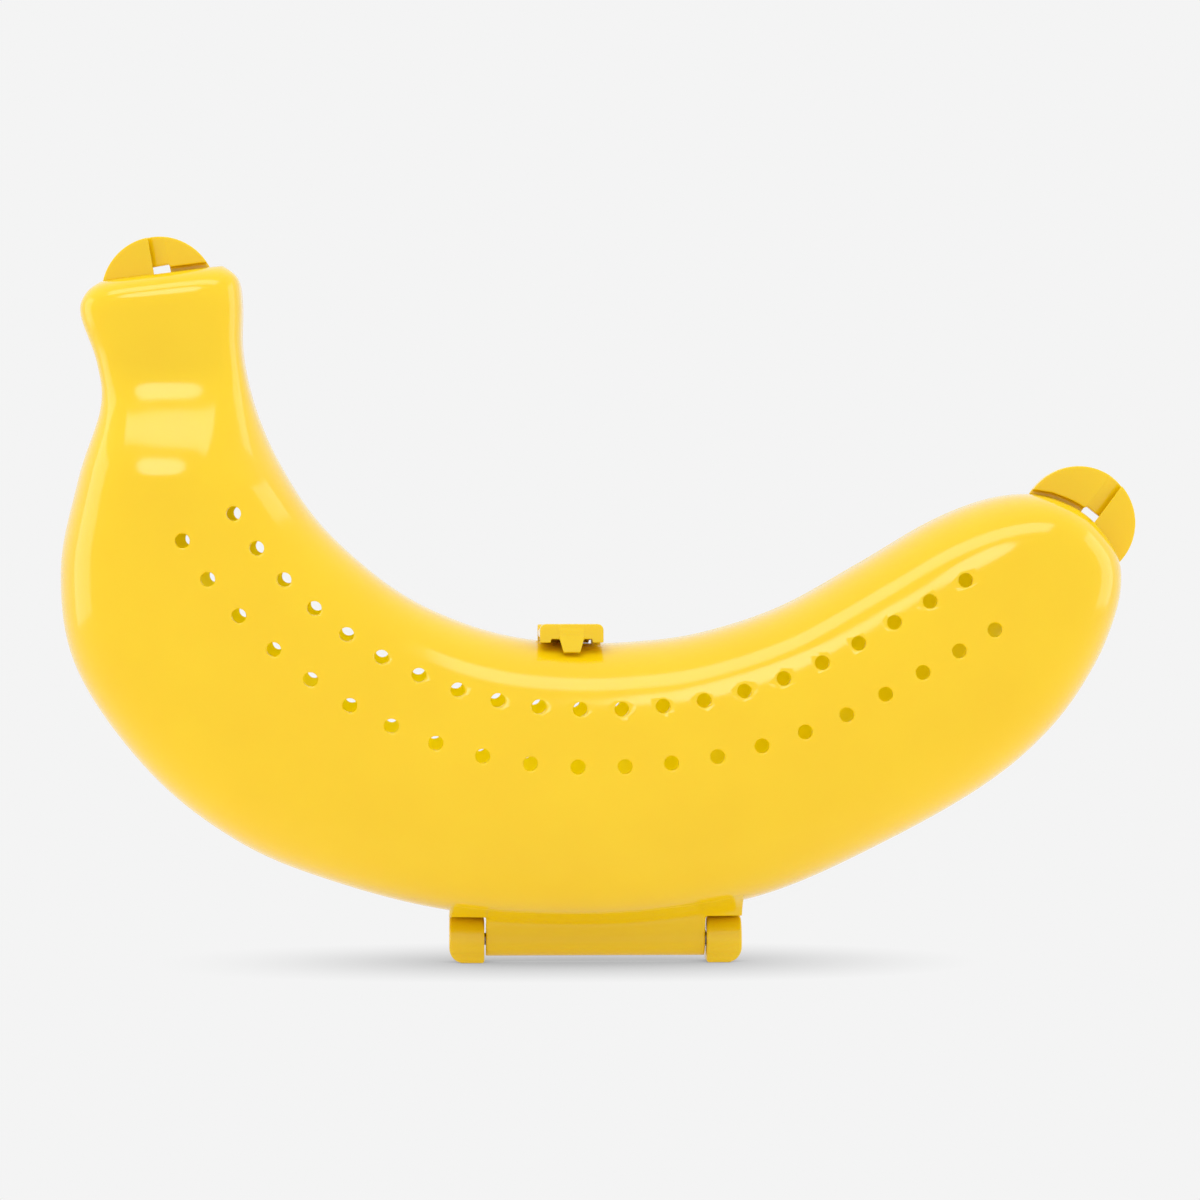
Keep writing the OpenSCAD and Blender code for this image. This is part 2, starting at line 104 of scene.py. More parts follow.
def skin(v, turn, inset=0.0, start=0.0):
    """Points of the front skin in metres: turn goes from the concave edge, 0, to the convex, pi."""
    concave, convex = outline(v)
    across = convex - concave
    across /= np.linalg.norm(across, axis=1)[:, None]
    near, far = concave + inset * across, convex - inset * across
    e = roundness(v)
    c, s = np.cos(turn), np.clip(np.sin(turn), 0, 1)
    # Both edges lie exactly on the seam
    s = np.where(s < 1e-9, 0, s)
    share = 0.5 - 0.5 * np.sign(c) * np.abs(c) ** e
    place = near + (far - near) * share[:, None]
    short = end_inset if inset else 0.0
    stem_end = (stem_round_to - v) / (stem_round_to - short) * math.sqrt(1 - stem_flat**2)
    tip_end = (v - tip_round_from) / (last - short - tip_round_from) * math.sqrt(1 - tip_flat**2)
    ends = np.sqrt(1 - np.clip(np.maximum(stem_end, tip_end), 0, 1) ** 2)
    swell = ease((swell_top - place[:, 1] - swell_delay * inset) / (swell_top - swell_low))
    swell = np.where(v > swell_end, 1, swell)
    depth = (stem_depth + (half_depth - stem_depth) * swell - inset - start) * ends
    return np.column_stack([place[:, 0], -start - depth * s**e, place[:, 1]]) * mm


def inner_place(v):
    """Where the hollow's section lies, a wall's thickness in from the two ends."""
    stem = end_inset + v * (stem_round_to - end_inset) / stem_round_to
    hollow_tip = last - end_inset - tip_round_from
    tip = tip_round_from + (v - tip_round_from) * hollow_tip / (last - tip_round_from)
    return np.where(v < stem_round_to, stem, np.where(v > tip_round_from, tip, v))


def run_along(points):
    """How far each of a row of points lies from the first, measured along the row."""
    return np.concatenate([[0], np.cumsum(np.linalg.norm(np.diff(points, axis=0), axis=1))])


# Rows of the shells' mesh, closer together where the two ends round off
stem_rows = 15
body_row_step = 0.1
tip_rows = 34
stem_turn = math.asin(stem_flat)
tip_turn = math.acos(tip_flat)
stem_q = np.linspace(stem_turn, math.pi / 2, stem_rows)[:-1]
tip_q = np.linspace(0, tip_turn, tip_rows)
row_v = np.concatenate([
    stem_round_to * (1 - np.cos(stem_q) / math.cos(stem_turn)),
    np.arange(stem_round_to, tip_round_from - body_row_step / 10, body_row_step),
    tip_round_from + (last - tip_round_from) * np.sin(tip_q) / math.sin(tip_turn),
])
# Columns stepped off evenly round a middle section
middle_section = 9.0
outer_columns = 73
inner_columns = 49
fine_steps = 721
fine = np.linspace(0, math.pi, fine_steps)
run = run_along(skin(np.full(fine_steps, middle_section), fine))
outer_turn = np.interp(np.linspace(0, run[-1], outer_columns), run, fine)
inner_turn = np.interp(np.linspace(run[-1], 0, inner_columns), run, fine)
# Points of a mesh that are closer than this, in metres, are merged
same_point = 1e-7
# Edges turned by more than this many degrees are rounded off, and others are shaded smooth
sharp_turn = 40
smooth_turn = 32


def select_only(piece):
    """Goes to object mode with just this piece selected."""
    if bpy.context.object and bpy.context.object.mode != "OBJECT":
        bpy.ops.object.mode_set(mode="OBJECT")
    bpy.ops.object.select_all(action="DESELECT")
    piece.select_set(True)
    bpy.context.view_layer.objects.active = piece


def select_verts(piece, wanted):
    """Goes to edit mode with just these vertices selected."""
    select_only(piece)
    mesh = piece.data
    chosen = np.zeros(len(mesh.vertices), bool)
    chosen[list(wanted)] = True
    mesh.polygons.foreach_set("select", np.zeros(len(mesh.polygons), bool))
    mesh.edges.foreach_set("select", np.zeros(len(mesh.edges), bool))
    mesh.vertices.foreach_set("select", chosen)
    bpy.ops.object.mode_set(mode="EDIT")
    bpy.ops.mesh.select_mode(type="VERT")


def grid_sheet(name, rows, columns):
    """A flat grid to be shaped, with the row and the column of each of its points."""
    bpy.ops.object.select_all(action="DESELECT")
    bpy.ops.mesh.primitive_grid_add(x_subdivisions=rows - 1, y_subdivisions=columns - 1, size=1)
    sheet = bpy.context.object
    sheet.name = name
    flat = np.empty(len(sheet.data.vertices) * 3)
    sheet.data.vertices.foreach_get("co", flat)
    flat = flat.reshape(-1, 3)
    row = np.rint((flat[:, 0] + 0.5) * (rows - 1)).astype(int)
    column = np.rint((flat[:, 1] + 0.5) * (columns - 1)).astype(int)
    return sheet, row, column


def place_points(sheet, points):
    """Shapes a sheet by the new places of all its points."""
    sheet.data.vertices.foreach_set("co", points.ravel())
    sheet.data.update()


def soften(piece, width, segments):
    """Rounds the sharp edges of a piece, as the tool that moulds it does."""
    select_only(piece)
    soft = piece.modifiers.new("soft_edges", "BEVEL")
    soft.width = width * mm
    soft.segments = segments
    soft.limit_method = "ANGLE"
    soft.angle_limit = math.radians(sharp_turn)
    soft.use_clamp_overlap = False
    bpy.ops.object.modifier_apply(modifier=soft.name)


def half_shell(name, steps, hollow_from, side):
    """One half as a closed wall: outer skin, the seam edge's steps as (inset, height), hollow."""
    columns = [(turn, 0.0, 0.0) for turn in outer_turn]
    columns += [(math.pi, inset, -y) for inset, y in steps]
    columns += [(turn, wall, hollow_from) for turn in inner_turn]
    columns += [(0.0, inset, -y) for inset, y in reversed(steps)]
    columns.append(columns[0])
    rows, count = len(row_v), len(columns)
    shell, row, column = grid_sheet(name, rows, count)
    points = np.empty((len(row), 3))
    for k, (turn, inset, start) in enumerate(columns):
        here = column == k
        v = row_v[row[here]]
        v = v + (inner_place(v) - v) * inset / wall
        points[here] = skin(v, np.full(len(v), turn), inset, start)
    points[:, 1] *= side
    place_points(shell, points)
    # Close the two flat ends: the outer end, the steps of the seam edge, and the hollow's end
    outer_count, inner_count, step_count = len(outer_turn), len(inner_turn), len(steps)
    inner_at = outer_count + step_count
    near_steps = [0] + [count - 2 - s for s in range(step_count)] + [inner_at + inner_count - 1]
    far_steps = [outer_count - 1 + s for s in range(step_count + 2)]
    loops = [list(range(outer_count)), list(range(inner_at, inner_at + inner_count))]
    for s in range(step_count + 1):
        loops.append([near_steps[s], far_steps[s], far_steps[s + 1], near_steps[s + 1]])
    for end in (0, rows - 1):
        for loop in loops:
            wanted = [int(np.flatnonzero((row == end) & (column == k))[0]) for k in loop]
            select_verts(shell, wanted)
            bpy.ops.mesh.edge_face_add()
    bpy.ops.mesh.select_all(action="SELECT")
    bpy.ops.mesh.remove_doubles(threshold=same_point)
    bpy.ops.mesh.normals_make_consistent(inside=False)
    bpy.ops.object.mode_set(mode="OBJECT")
    soften(shell, width=0.25, segments=2)
    return shell


# The lip of the rear half, and the rebate that takes it
lip_height = 1.2
lip_thickness = 0.7
lip_gap = 0.3
lip_ledge = 0.1
lip_from = wall - lip_ledge - lip_thickness
rebate_from = lip_from - lip_gap
rebate_depth = lip_height + lip_gap
rebate_steps = [(rebate_from, 0), (rebate_from, -rebate_depth)]
front_shell = half_shell("front_shell_moulding", rebate_steps, rebate_depth, 1)

# Vents: both rows stand on the same section lines, stepped off evenly along the first row
vent_r = 1.4
vent_sides = 28
vent_drill = 12.0
vent_rows = (12.3, 23.5)
vent_pairs = 21
first_vent = 6.35
last_vent = 16.9
vent_steps = 121
vent_v = np.linspace(first_vent, last_vent, vent_steps)
concave, convex = outline(vent_v)
across = (convex - concave) / np.linalg.norm(convex - concave, axis=1)[:, None]
run = run_along(concave + vent_rows[0] * across)
vent_at = np.interp(np.linspace(0, run[-1], vent_pairs), run, vent_v)
# Soft rim of one vent as (radius past the vent's own, height over the skin), from the outside in
vent_rim = [(0.62, 0.12), (0.36, 0.0), (0.16, -0.1), (0.04, -0.24), (-0.02, -0.5)]


def vent_places():
    """Middle of each vent on the front skin and the skin's direction there."""
    nudge = 0.01
    for v in vent_at:
        at = np.array([v])
        concave, convex = outline(at)
        width = np.linalg.norm(convex - concave)
        e = roundness(at)[0]
        for away in vent_rows:
            c = 1 - 2 * away / width
            turn = np.array([math.acos(np.sign(c) * abs(c) ** (1 / e))])
            here = skin(at, turn)[0]
            along = skin(at + nudge, turn)[0] - skin(at - nudge, turn)[0]
            around = skin(at, turn + nudge)[0] - skin(at, turn - nudge)[0]
            normal = Vector(np.cross(along, around)).normalized()
            yield Vector(here), (-normal if normal.y > 0 else normal)


def cut(piece, tool):
    """Takes the tool's shape out of the piece, and the tool away."""
    select_only(piece)
    cutting = piece.modifiers.new("cut", "BOOLEAN")
    cutting.operation = "DIFFERENCE"
    cutting.solver = "EXACT"
    cutting.object = tool
    bpy.ops.object.modifier_apply(modifier=cutting.name)
    bpy.data.objects.remove(tool)


def one_object(pieces):
    """Joins tools that cut together."""
    bpy.ops.object.select_all(action="DESELECT")
    for piece in pieces:
        piece.select_set(True)
    bpy.context.view_layer.objects.active = pieces[0]
    bpy.ops.object.join()
    return bpy.context.object


def drill_vents(shell, side):
    """Straight holes along Y, then the soft rim of each hole square to the skin."""
    holes, rims = [], []
    rim_r, rim_z = vent_rim[0]
    bpy.ops.object.select_all(action="DESELECT")
    bpy.ops.mesh.primitive_circle_add(
        vertices=vent_sides, radius=(vent_r + rim_r) * mm, fill_type="NGON")
    rim = bpy.context.object
    bpy.ops.object.mode_set(mode="EDIT")
    bpy.ops.transform.translate(value=(0, 0, rim_z * mm))
    for (r0, z0), (r1, z1) in zip(vent_rim, vent_rim[1:]):
        bpy.ops.mesh.extrude_region_move(TRANSFORM_OT_translate={"value": (0, 0, (z1 - z0) * mm)})
        bpy.ops.transform.resize(value=((vent_r + r1) / (vent_r + r0),) * 2 + (1,))
    bpy.ops.mesh.select_all(action="SELECT")
    bpy.ops.mesh.normals_make_consistent(inside=False)
    bpy.ops.object.mode_set(mode="OBJECT")
    for place, normal in vent_places():
        place = Vector((place.x, side * place.y, place.z))
        normal = Vector((normal.x, side * normal.y, normal.z))
        bpy.ops.mesh.primitive_cylinder_add(
            vertices=vent_sides, radius=vent_r * mm, depth=vent_drill * mm,
            location=place, rotation=(math.pi / 2, 0, 0))
        holes.append(bpy.context.object)
        copy = rim.copy()
        copy.data = rim.data.copy()
        facing = normal.to_track_quat("Z", "Y").to_matrix().to_4x4()
        copy.data.transform(Matrix.Translation(place) @ facing)
        bpy.context.collection.objects.link(copy)
        rims.append(copy)
    bpy.data.objects.remove(rim)
    cut(shell, one_object(holes))
    cut(shell, one_object(rims))


def smooth(piece):
    """Shades a piece smooth, apart from its sharp edges."""
    select_only(piece)
    bpy.ops.object.shade_smooth_by_angle(angle=math.radians(smooth_turn))


drill_vents(front_shell, 1)
smooth(front_shell)


def linear(hex_colour):
    """An sRGB hex colour as linear RGBA."""
    parts = [int(hex_colour[k:k + 2], 16) / 255 for k in (1, 3, 5)]
    return [c / 12.92 if c <= 0.04045 else ((c + 0.055) / 1.055) ** 2.4 for c in parts] + [1.0]


def add(tree, kind, settings=None, links=None, **attributes):
    """Adds one node: its attributes, the values of its inputs, and what feeds its inputs."""
    node = tree.nodes.new(kind)
    for name, value in attributes.items():
        setattr(node, name, value)
    for name, value in (settings or {}).items():
        node.inputs[name].default_value = value
    for name, (other, output) in (links or {}).items():
        tree.links.new(other.outputs[output], node.inputs[name])
    return node


def new_material(name):
    """A material with an empty node tree."""
    material = bpy.data.materials.new(name)
    material.use_nodes = True
    material.node_tree.nodes.clear()
    return material, material.node_tree


# ABS, moulded in a polished tool: an even warm yellow with a clear gloss. Close up it shows faint
# flow clouding, a trace of orange peel, and slight differences of gloss where hands have touched
# it. Sizes are in millimetres, and light goes about as deep into the plastic as it is thick.
cloud_size = 18.0
touch_size = 9.0
peel_size = 1.2
peel_height = 0.02
light_depth = 2.0
case_plastic, tree = new_material("moulded_gloss_yellow_abs")
at = add(tree, "ShaderNodeTexCoord")
clouding = add(
    tree, "ShaderNodeTexNoise", {"Scale": 1 / (cloud_size * mm), "Detail": 3.0, "Roughness": 0.5},
    {"Vector": (at, "Object")})
yellow = add(tree, "ShaderNodeValToRGB", links={"Fac": (clouding, "Fac")})
for stop, position, colour in zip(yellow.color_ramp.elements, (0.3, 0.7), ("#ecc508", "#eec90c")):
    stop.position = position
    stop.color = linear(colour)
touched = add(
    tree, "ShaderNodeTexNoise", {"Scale": 1 / (touch_size * mm), "Detail": 4.0, "Roughness": 0.6},
    {"Vector": (at, "Object")})
gloss = add(
    tree, "ShaderNodeMapRange",
    {"From Min": 0.3, "From Max": 0.7, "To Min": 0.11, "To Max": 0.15},
    {"Value": (touched, "Fac")})
peel = add(
    tree, "ShaderNodeTexNoise", {"Scale": 1 / (peel_size * mm), "Detail": 2.0, "Roughness": 0.45},
    {"Vector": (at, "Object")})
peel_bump = add(
    tree, "ShaderNodeBump", {"Strength": 0.06, "Distance": peel_height * mm},
    {"Height": (peel, "Fac")})
shader = add(
    tree, "ShaderNodeBsdfPrincipled",
    {"IOR": 1.53, "Subsurface Weight": 0.2, "Subsurface Radius": (1.0, 0.8, 0.1),
     "Subsurface Scale": light_depth * mm},
    {"Base Color": (yellow, "Color"), "Roughness": (gloss, "Result"),
     "Normal": (peel_bump, "Normal")})
add(tree, "ShaderNodeOutputMaterial", links={"Surface": (shader, "BSDF")})


def dress(piece, material):
    """Gives a piece its material."""
    piece.data.materials.clear()
    piece.data.materials.append(material)


dress(front_shell, case_plastic)
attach(front_shell, "front_half")
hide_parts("front_shell")


# Hinge leaf of the front half: part of the same moulding. It leaves the skin smoothly and ends in
# the long barrel that turns on the pin, and its two ends are hollowed out for the knuckles of the
# rear half.
hinge_left = -30.2
hinge_right = 28.2
knuckle_w = 7.0
knuckle_gap = 0.3
axis_height = 4.6
barrel_r = 3.4
pocket_r = 5.2
bore_r = 1.25
seam_gap = 0.3
leaf_runout = 12.0
leaf_bury = 1.5
leaf_start = -0.03
leaf_run_in = 4.6
leaf_rise = 0.6
step_height = 9.45
root_rings = 12
curve_rings = 26
barrel_rings = 36
station_count = 74
stations = np.linspace(hinge_left, hinge_right, station_count)
belly_v = np.linspace(10, 16, 121)


def skin_height(x, y):
    """Height of the belly's skin at places x along the case, y in front of the seam, in mm."""
    turn = math.pi - math.asin((y / half_depth) ** (body_power / 2))
    points = skin(belly_v, np.full(len(belly_v), turn)) / mm
    return np.interp(x, points[:, 0], points[:, 2])


def level(value):
    """The same value at every station along the leaf."""
    return np.full(station_count, value)


# Rings of the leaf, each a row of points along the case: the root inside the wall, a hollow curve
# that leaves the skin along its own slope and ends upright at the front of the barrel, and round
# the barrel back to the seam
rings = [(level(-y), skin_height(stations, y) + leaf_bury)
         for y in np.linspace(seam_gap, leaf_runout, root_rings)]
top_z = skin_height(stations, leaf_runout) + leaf_start
slope = skin_height(stations, leaf_runout + 0.5) - skin_height(stations, leaf_runout - 0.5)
curve = [
    (-leaf_runout, top_z), (-leaf_runout + leaf_run_in, top_z - leaf_run_in * slope),
    (-barrel_r, axis_height + leaf_rise * (top_z - axis_height)), (-barrel_r, level(axis_height)),
]
for share in np.linspace(0, 1, curve_rings)[:-1]:
    rest = 1 - share
    weights = [rest ** 3, 3 * share * rest ** 2, 3 * share ** 2 * rest, share ** 3]
    curve_y = sum(weight * y for weight, (y, z) in zip(weights, curve))
    curve_z = sum(weight * z for weight, (y, z) in zip(weights, curve))
    rings.append((level(curve_y), curve_z))
seam_turn = 2 * math.pi + math.acos(-seam_gap / barrel_r)
for turn in np.linspace(math.pi, seam_turn, barrel_rings):
    barrel_y = barrel_r * math.cos(turn)
    barrel_z = axis_height + barrel_r * math.sin(turn)
    rings.append((level(barrel_y), level(barrel_z)))
rings.append(rings[0])
leaf, at_station, at_ring = grid_sheet("front_hinge_leaf_moulding", station_count, len(rings))
ring_y = np.array([ring[0] for ring in rings])
ring_z = np.array([ring[1] for ring in rings])
place_points(leaf, mm * np.column_stack([
    stations[at_station], ring_y[at_ring, at_station], ring_z[at_ring, at_station]]))
select_only(leaf)
bpy.ops.object.mode_set(mode="EDIT")
bpy.ops.mesh.select_all(action="SELECT")
bpy.ops.mesh.remove_doubles(threshold=same_point)
bpy.ops.mesh.select_all(action="DESELECT")
bpy.ops.mesh.select_non_manifold()
bpy.ops.mesh.edge_face_add()
bpy.ops.mesh.select_all(action="SELECT")
bpy.ops.mesh.normals_make_consistent(inside=False)
bpy.ops.object.mode_set(mode="OBJECT")


def rod_along_x(low, high, radius, sides):
    """A plain round tool on the hinge axis, to cut with."""
    bpy.ops.object.select_all(action="DESELECT")
    bpy.ops.mesh.primitive_cylinder_add(
        vertices=sides, radius=radius * mm, depth=(high - low) * mm, rotation=(0, math.pi / 2, 0),
        location=((low + high) / 2 * mm, 0, axis_height * mm))
    return bpy.context.object


# Room for each knuckle: a round pocket, and a block that takes off what is left below the step
pocket_w = knuckle_w + knuckle_gap
past_end = 1
block = 20
block_y = -5
for low, high in ((hinge_left - past_end, hinge_left + pocket_w),
                  (hinge_right - pocket_w, hinge_right + past_end)):
    cut(leaf, rod_along_x(low, high, pocket_r, sides=72))
    bpy.ops.mesh.primitive_cube_add(
        size=1, location=((low + high) / 2 * mm, block_y * mm, (step_height - block / 2) * mm),
        scale=((high - low) * mm, block * mm, block * mm))
    cut(leaf, bpy.context.object)
cut(leaf, rod_along_x(hinge_left, hinge_right, bore_r, sides=32))


def run_soft(piece, voxel, rounds):
    """Gives a piece one even skin with all its edges run soft, as a moulding has."""
    select_only(piece)
    skin_over = piece.modifiers.new("one_skin", "REMESH")
    skin_over.mode = "VOXEL"
    skin_over.voxel_size = voxel * mm
    relax = piece.modifiers.new("soft_edges", "SMOOTH")
    relax.factor = 0.5
    relax.iterations = rounds
    for modifier in (skin_over, relax):
        bpy.ops.object.modifier_apply(modifier=modifier.name)
    bpy.ops.object.shade_smooth()


run_soft(leaf, voxel=0.22, rounds=6)
dress(leaf, case_plastic)
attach(leaf, "front_half")
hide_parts("front_hinge_leaf")


# Finger tabs of the front half: flat half discs at the stem end and at the tip end, moulded in one
# with the shell. Each has a step in its back, and the tab of the other half passes behind it there.
cad_same_point = 1e-6


def cad_copy(node):
    """A merged copy of a CAD node's mesh, to be finished as a moulding."""
    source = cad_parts[node]
    piece = source.copy()
    piece.data = source.data.copy()
    piece.name = node + "_moulding"
    piece.parent = None
    for key in list(piece.keys()):
        del piece[key]
    bpy.context.collection.objects.link(piece)
    select_only(piece)
    bpy.ops.object.mode_set(mode="EDIT")
    bpy.ops.mesh.select_all(action="SELECT")
    bpy.ops.mesh.remove_doubles(threshold=cad_same_point)
    bpy.ops.object.mode_set(mode="OBJECT")
    return piece


def soft_moulding(node, body, voxel, rounds):
    """A small moulding in the node's place, with all its edges run soft."""
    piece = cad_copy(node)
    run_soft(piece, voxel, rounds)
    dress(piece, case_plastic)
    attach(piece, body)
    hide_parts(node)
    return piece


soft_moulding("front_stem_tab", "front_half", voxel=0.16, rounds=6)
soft_moulding("front_tip_tab", "front_half", voxel=0.16, rounds=6)


# Catch: a small ridge on the concave edge of the front half, moulded in one with the shell. When
# the clip is down, its tongue stands in front of this ridge and holds the case shut.
soft_moulding("latch_catch", "front_half", voxel=0.12, rounds=6)


# Rear half of the case: the mirror of the front shell, moulded in the same plastic with the same
# vents. A thin lip round its seam edge goes into the rebate of the front half.
lip_steps = [(lip_from, 0), (lip_from, lip_height), (wall - lip_ledge, lip_height)]
rear_shell = half_shell("rear_shell_moulding", lip_steps, 0.0, -1)
drill_vents(rear_shell, -1)
smooth(rear_shell)
dress(rear_shell, case_plastic)
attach(rear_shell, "rear_half")
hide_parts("rear_shell")


# Outer knuckles of the rear half, moulded in one with it. They hold the two ends of the hinge pin,
# and their flat undersides are the feet that the case stands on.
flat_within = math.radians(1)
for node in ("left_knuckle", "right_knuckle"):
    knuckle = cad_copy(node)
    bpy.ops.object.mode_set(mode="EDIT")
    bpy.ops.mesh.dissolve_limited(angle_limit=flat_within)
    bpy.ops.object.mode_set(mode="OBJECT")
    soften(knuckle, width=0.5, segments=3)
    smooth(knuckle)
    dress(knuckle, case_plastic)
    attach(knuckle, "rear_half")
    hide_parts(node)


# Finger tabs of the rear half: the other half discs, moulded in one with the rear shell. Each is
# bevelled down to the lap that passes behind the front tab, with a notch below.
soft_moulding("rear_stem_tab", "rear_half", voxel=0.16, rounds=6)
soft_moulding("rear_tip_tab", "rear_half", voxel=0.16, rounds=6)


# Ears on the concave edge of the rear half, moulded in one with the shell. The stubs of the latch
# clip turn in their bores.
soft_moulding("latch_ears", "rear_half", voxel=0.1, rounds=5)


# Latch clip: a small moulding of the same plastic with a strap over the seam, a bar with two legs
# and a thumb tongue. The stubs at the ends of its barrel are snapped into the ears.
clip = soft_moulding("latch_clip", "latch", voxel=0.12, rounds=8)
# The bar is raised to a crown above the strap, and the barrel is let down a little below
bar_back = -10.4
bar_crown = 65.8
bar_lift = 0.8
barrel_from = 3.0
barrel_belly = 65.0
barrel_drop = 0.35
points = np.array([vertex.co for vertex in clip.data.vertices]) / mm
crown = (points[:, 1] < bar_back) & (points[:, 2] > bar_crown)
belly = (points[:, 1] > barrel_from) & (points[:, 2] < barrel_belly)
for wanted, rise in ((crown, bar_lift), (belly, -barrel_drop)):
    select_verts(clip, np.flatnonzero(wanted))
    bpy.ops.transform.translate(value=(0, 0, rise * mm))
bpy.ops.object.mode_set(mode="OBJECT")


# Hinge pin: a plain drawn steel wire, pressed into both knuckles, that the barrel of the front half
# turns on. It is bright, with fine draw lines along it.
draw_line = 0.15
draw_height = 0.01
pin_steel, tree = new_material("drawn_steel_wire")
at = add(tree, "ShaderNodeTexCoord")
along = add(tree, "ShaderNodeMapping", {"Scale": (0.02, 1.0, 1.0)}, {"Vector": (at, "Object")})
draw_lines = add(
    tree, "ShaderNodeTexNoise", {"Scale": 1 / (draw_line * mm), "Detail": 2.0},
    {"Vector": (along, "Vector")})
draw_gloss = add(
    tree, "ShaderNodeMapRange", {"To Min": 0.26, "To Max": 0.42}, {"Value": (draw_lines, "Fac")})
draw_bump = add(
    tree, "ShaderNodeBump", {"Strength": 0.1, "Distance": draw_height * mm},
    {"Height": (draw_lines, "Fac")})
shader = add(
    tree, "ShaderNodeBsdfPrincipled", {"Base Color": linear("#b8babd"), "Metallic": 1.0},
    {"Roughness": (draw_gloss, "Result"), "Normal": (draw_bump, "Normal")})
add(tree, "ShaderNodeOutputMaterial", links={"Surface": (shader, "BSDF")})
hinge_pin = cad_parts["hinge_pin"]
hinge_pin.data.materials.clear()
hinge_pin.data.materials.append(pin_steel)


# Stage: a pale paper floor as bright as the backdrop behind it. All that is seen of it is a painted
# shadow round the feet, darker where ambient occlusion finds the case near, and for the light it is
# a matt sheet under the case.
floor_width = 0.8
floor_length = 0.4
floor_middle = 0.13
bpy.ops.object.select_all(action="DESELECT")
bpy.ops.mesh.primitive_grid_add(x_subdivisions=4, y_subdivisions=4, size=1)
floor = bpy.context.object
floor.name = "floor"
floor.scale = (floor_width, floor_length, 1)
floor.location = (0, floor_middle, 0)
bpy.ops.object.transform_apply(location=True, scale=True)


def seen_rays(tree):
    """1 for rays that see the stage, straight, in gloss or through glass, and 0 for its light."""
    ray = add(tree, "ShaderNodeLightPath")
    shown = add(
        tree, "ShaderNodeMath", links={0: (ray, "Is Camera Ray"), 1: (ray, "Is Glossy Ray")},
        operation="MAXIMUM")
    return add(
        tree, "ShaderNodeMath", links={0: (shown, 0), 1: (ray, "Is Transmission Ray")},
        operation="MAXIMUM")


# The sheet fades in from these edges, in metres, to its full cover nearer the feet
side_fade = {"From Min": 0.105, "From Max": 0.02}
front_fade = {"From Min": -0.068, "From Max": -0.03}
back_fade = {"From Min": 0.12, "From Max": 0.005}
# For the light it is thinner in front of the case than under it and behind it
light_cover = {"From Min": -0.03, "From Max": -0.01, "To Min": 0.35, "To Max": 0.6}
# The painted shadow's occlusion reaches this far, in millimetres, and a lower power makes it paler
shadow_reach = 30
shadow_power = 0.37
paper, tree = new_material("pale_paper_floor")
at = add(tree, "ShaderNodeTexCoord")
place = add(tree, "ShaderNodeSeparateXYZ", links={"Vector": (at, "Object")})
sideways = add(tree, "ShaderNodeMath", links={0: (place, "X")}, operation="ABSOLUTE")
fade_side = add(
    tree, "ShaderNodeMapRange", side_fade, {"Value": (sideways, 0)},
    interpolation_type="SMOOTHSTEP")
fade_front = add(
    tree, "ShaderNodeMapRange", front_fade, {"Value": (place, "Y")},
    interpolation_type="SMOOTHSTEP")
fade_back = add(
    tree, "ShaderNodeMapRange", back_fade, {"Value": (place, "Y")},
    interpolation_type="SMOOTHSTEP")
fade_depth = add(
    tree, "ShaderNodeMath", links={0: (fade_front, "Result"), 1: (fade_back, "Result")},
    operation="MULTIPLY")
fade = add(
    tree, "ShaderNodeMath", links={0: (fade_depth, 0), 1: (fade_side, "Result")},
    operation="MULTIPLY")
seen = seen_rays(tree)
under = add(tree, "ShaderNodeMapRange", light_cover, {"Value": (place, "Y")})
# Painted shadow: ambient occlusion within shadow_reach sets how dark the floor is painted round the
# feet
contact = add(tree, "ShaderNodeAmbientOcclusion", {"Distance": shadow_reach * mm}, samples=16)
shading = add(
    tree, "ShaderNodeMath", {1: shadow_power}, {0: (contact, "AO")}, operation="POWER")
shade = add(tree, "ShaderNodeMath", {0: 1.0}, {1: (shading, 0)}, operation="SUBTRACT")
cover = add(
    tree, "ShaderNodeMapRange",
    links={"Value": (seen, 0), "To Min": (under, "Result"), "To Max": (shade, 0)})
paper_cover = add(
    tree, "ShaderNodeMath", links={0: (fade, 0), 1: (cover, "Result")}, operation="MULTIPLY")
matt = add(tree, "ShaderNodeBsdfDiffuse", {"Color": linear("#e2e2e2")})
# A black sheet that the occlusion mixes in, painting the shadow for the rays that see the floor
shadow = add(tree, "ShaderNodeBsdfDiffuse", {"Color": linear("#000000")})
sheet = add(
    tree, "ShaderNodeMixShader", links={0: (seen, 0), 1: (matt, "BSDF"), 2: (shadow, "BSDF")})
clear = add(tree, "ShaderNodeBsdfTransparent")
mixed = add(
    tree, "ShaderNodeMixShader",
    links={0: (paper_cover, 0), 1: (clear, "BSDF"), 2: (sheet, "Shader")})
add(tree, "ShaderNodeOutputMaterial", links={"Surface": (mixed, "Shader")})
floor.data.materials.append(paper)


# Studio light: an even white room, with a strip softbox overhead and an oval one in front, above
# and to the left. Two more stand at the sides, and a warm card below lights the underside.
backdrop = "#f4f4f4"
room_light = 0.9
world = bpy.data.worlds.new("white_room")
bpy.context.scene.world = world
world.use_nodes = True
tree = world.node_tree
tree.nodes.clear()
seen = seen_rays(tree)
room = add(tree, "ShaderNodeBackground", {"Color": linear("#ffffff"), "Strength": room_light})
white = add(tree, "ShaderNodeBackground", {"Color": linear(backdrop), "Strength": 1.0})
either = add(
    tree, "ShaderNodeMixShader",
    links={0: (seen, 0), 1: (room, "Background"), 2: (white, "Background")})
add(tree, "ShaderNodeOutputWorld", links={"Surface": (either, "Shader")})
lit_point = (0.0, 0.0, 0.07)


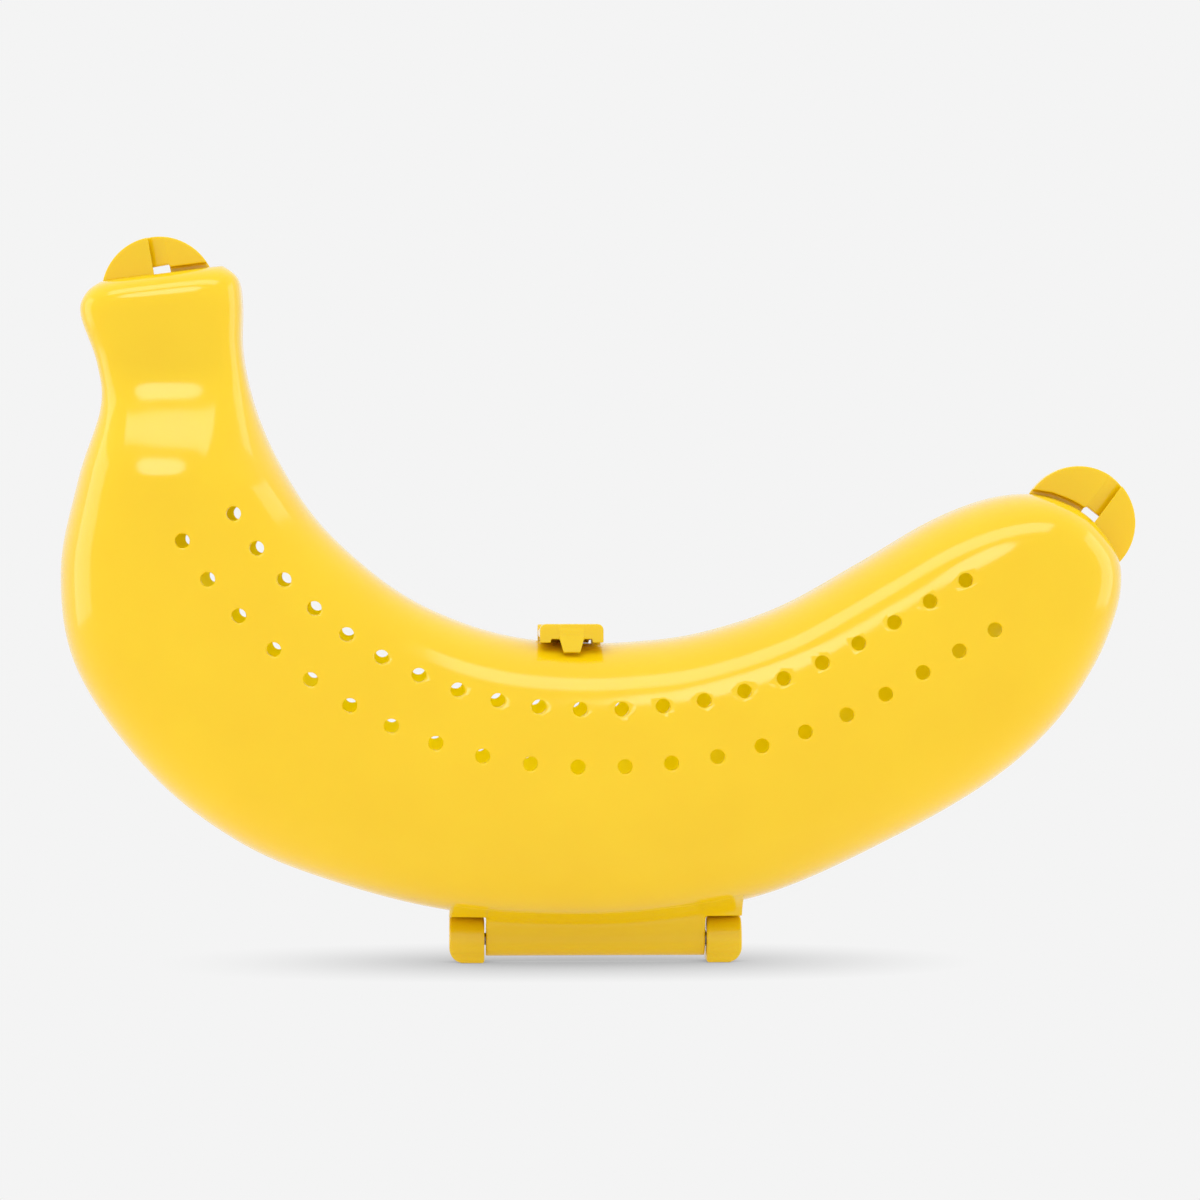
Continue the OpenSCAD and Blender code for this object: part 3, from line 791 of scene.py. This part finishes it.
def softbox(name, shape, place, width, height, radiance):
    """An area lamp of a given brightness that faces the case, so its size can change alone."""
    light = bpy.data.lights.new(name, "AREA")
    light.shape = shape
    light.size = width
    light.size_y = height
    area = width * height * (math.pi / 4 if shape == "ELLIPSE" else 1)
    light.energy = radiance * math.pi * area
    lamp = bpy.data.objects.new(name, light)
    lamp.location = place
    lamp.rotation_euler = (Vector(lit_point) - Vector(place)).to_track_quat("-Z", "Y").to_euler()
    bpy.context.collection.objects.link(lamp)
    return lamp


def unseen(lamp):
    """Keeps a lamp itself out of the view and out of the gloss."""
    lamp.visible_glossy = False
    lamp.visible_camera = False


softbox("overhead_softbox", "RECTANGLE", place=(-0.08, -0.34, 1.13),
        width=1.0, height=0.36, radiance=2.5)
softbox("key_softbox", "ELLIPSE", place=(-0.19, -0.8, 0.95),
        width=0.46, height=0.38, radiance=3.6)
softbox("left_softbox", "RECTANGLE", place=(-1.1, 0.12, 0.3),
        width=0.7, height=1.0, radiance=1.3)
softbox("right_softbox", "RECTANGLE", place=(1.1, 0.12, 0.3),
        width=0.7, height=1.0, radiance=1.3)
bounce = softbox("bounce_card", "RECTANGLE", place=(0.0, -0.4, -0.75),
                 width=1.1, height=0.6, radiance=1.6)
bounce.data.color = linear("#ffe6b4")[:3]
unseen(bounce)
# Some light seems to pass through the thin plastic into the hollow: small hidden lamps along its
# middle, weaker towards the tip, stand in for that glow
glow_places = (7.0, 8.6, 10.1, 11.4, 12.7, 14.0, 15.3, 16.6, 17.8)
glow_energy = 0.0075
glow_fall = 0.00035
glow_colour = (0.6, 1.0, 0.3)
glow_size = 6
glow_y = -8
for v in glow_places:
    concave, convex = outline(np.array([v]))
    hollow = (concave[0] + convex[0]) / 2 * mm
    glow = bpy.data.lights.new("hollow_glow", "POINT")
    glow.energy = glow_energy - glow_fall * (v - glow_places[0])
    glow.color = glow_colour
    glow.shadow_soft_size = glow_size * mm
    lamp = bpy.data.objects.new("hollow_glow", glow)
    lamp.location = (hollow[0], glow_y * mm, hollow[1])
    unseen(lamp)
    bpy.context.collection.objects.link(lamp)


# Camera: a long lens a metre in front of the case, at about its own height and a little to the
# left, turned to the middle of the case.
camera_aim = (0, 0, 0.0724)
camera_data = bpy.data.cameras.new("camera")
camera_data.sensor_width = 36
camera_data.lens = 150.15
camera = bpy.data.objects.new("camera", camera_data)
camera.location = (-0.0396, -1.0, 0.0942)
camera_way = Vector(camera_aim) - camera.location
camera.rotation_euler = camera_way.to_track_quat("-Z", "Y").to_euler()
bpy.context.collection.objects.link(camera)
bpy.context.scene.camera = camera
bpy.context.scene.view_settings.view_transform = "Standard"
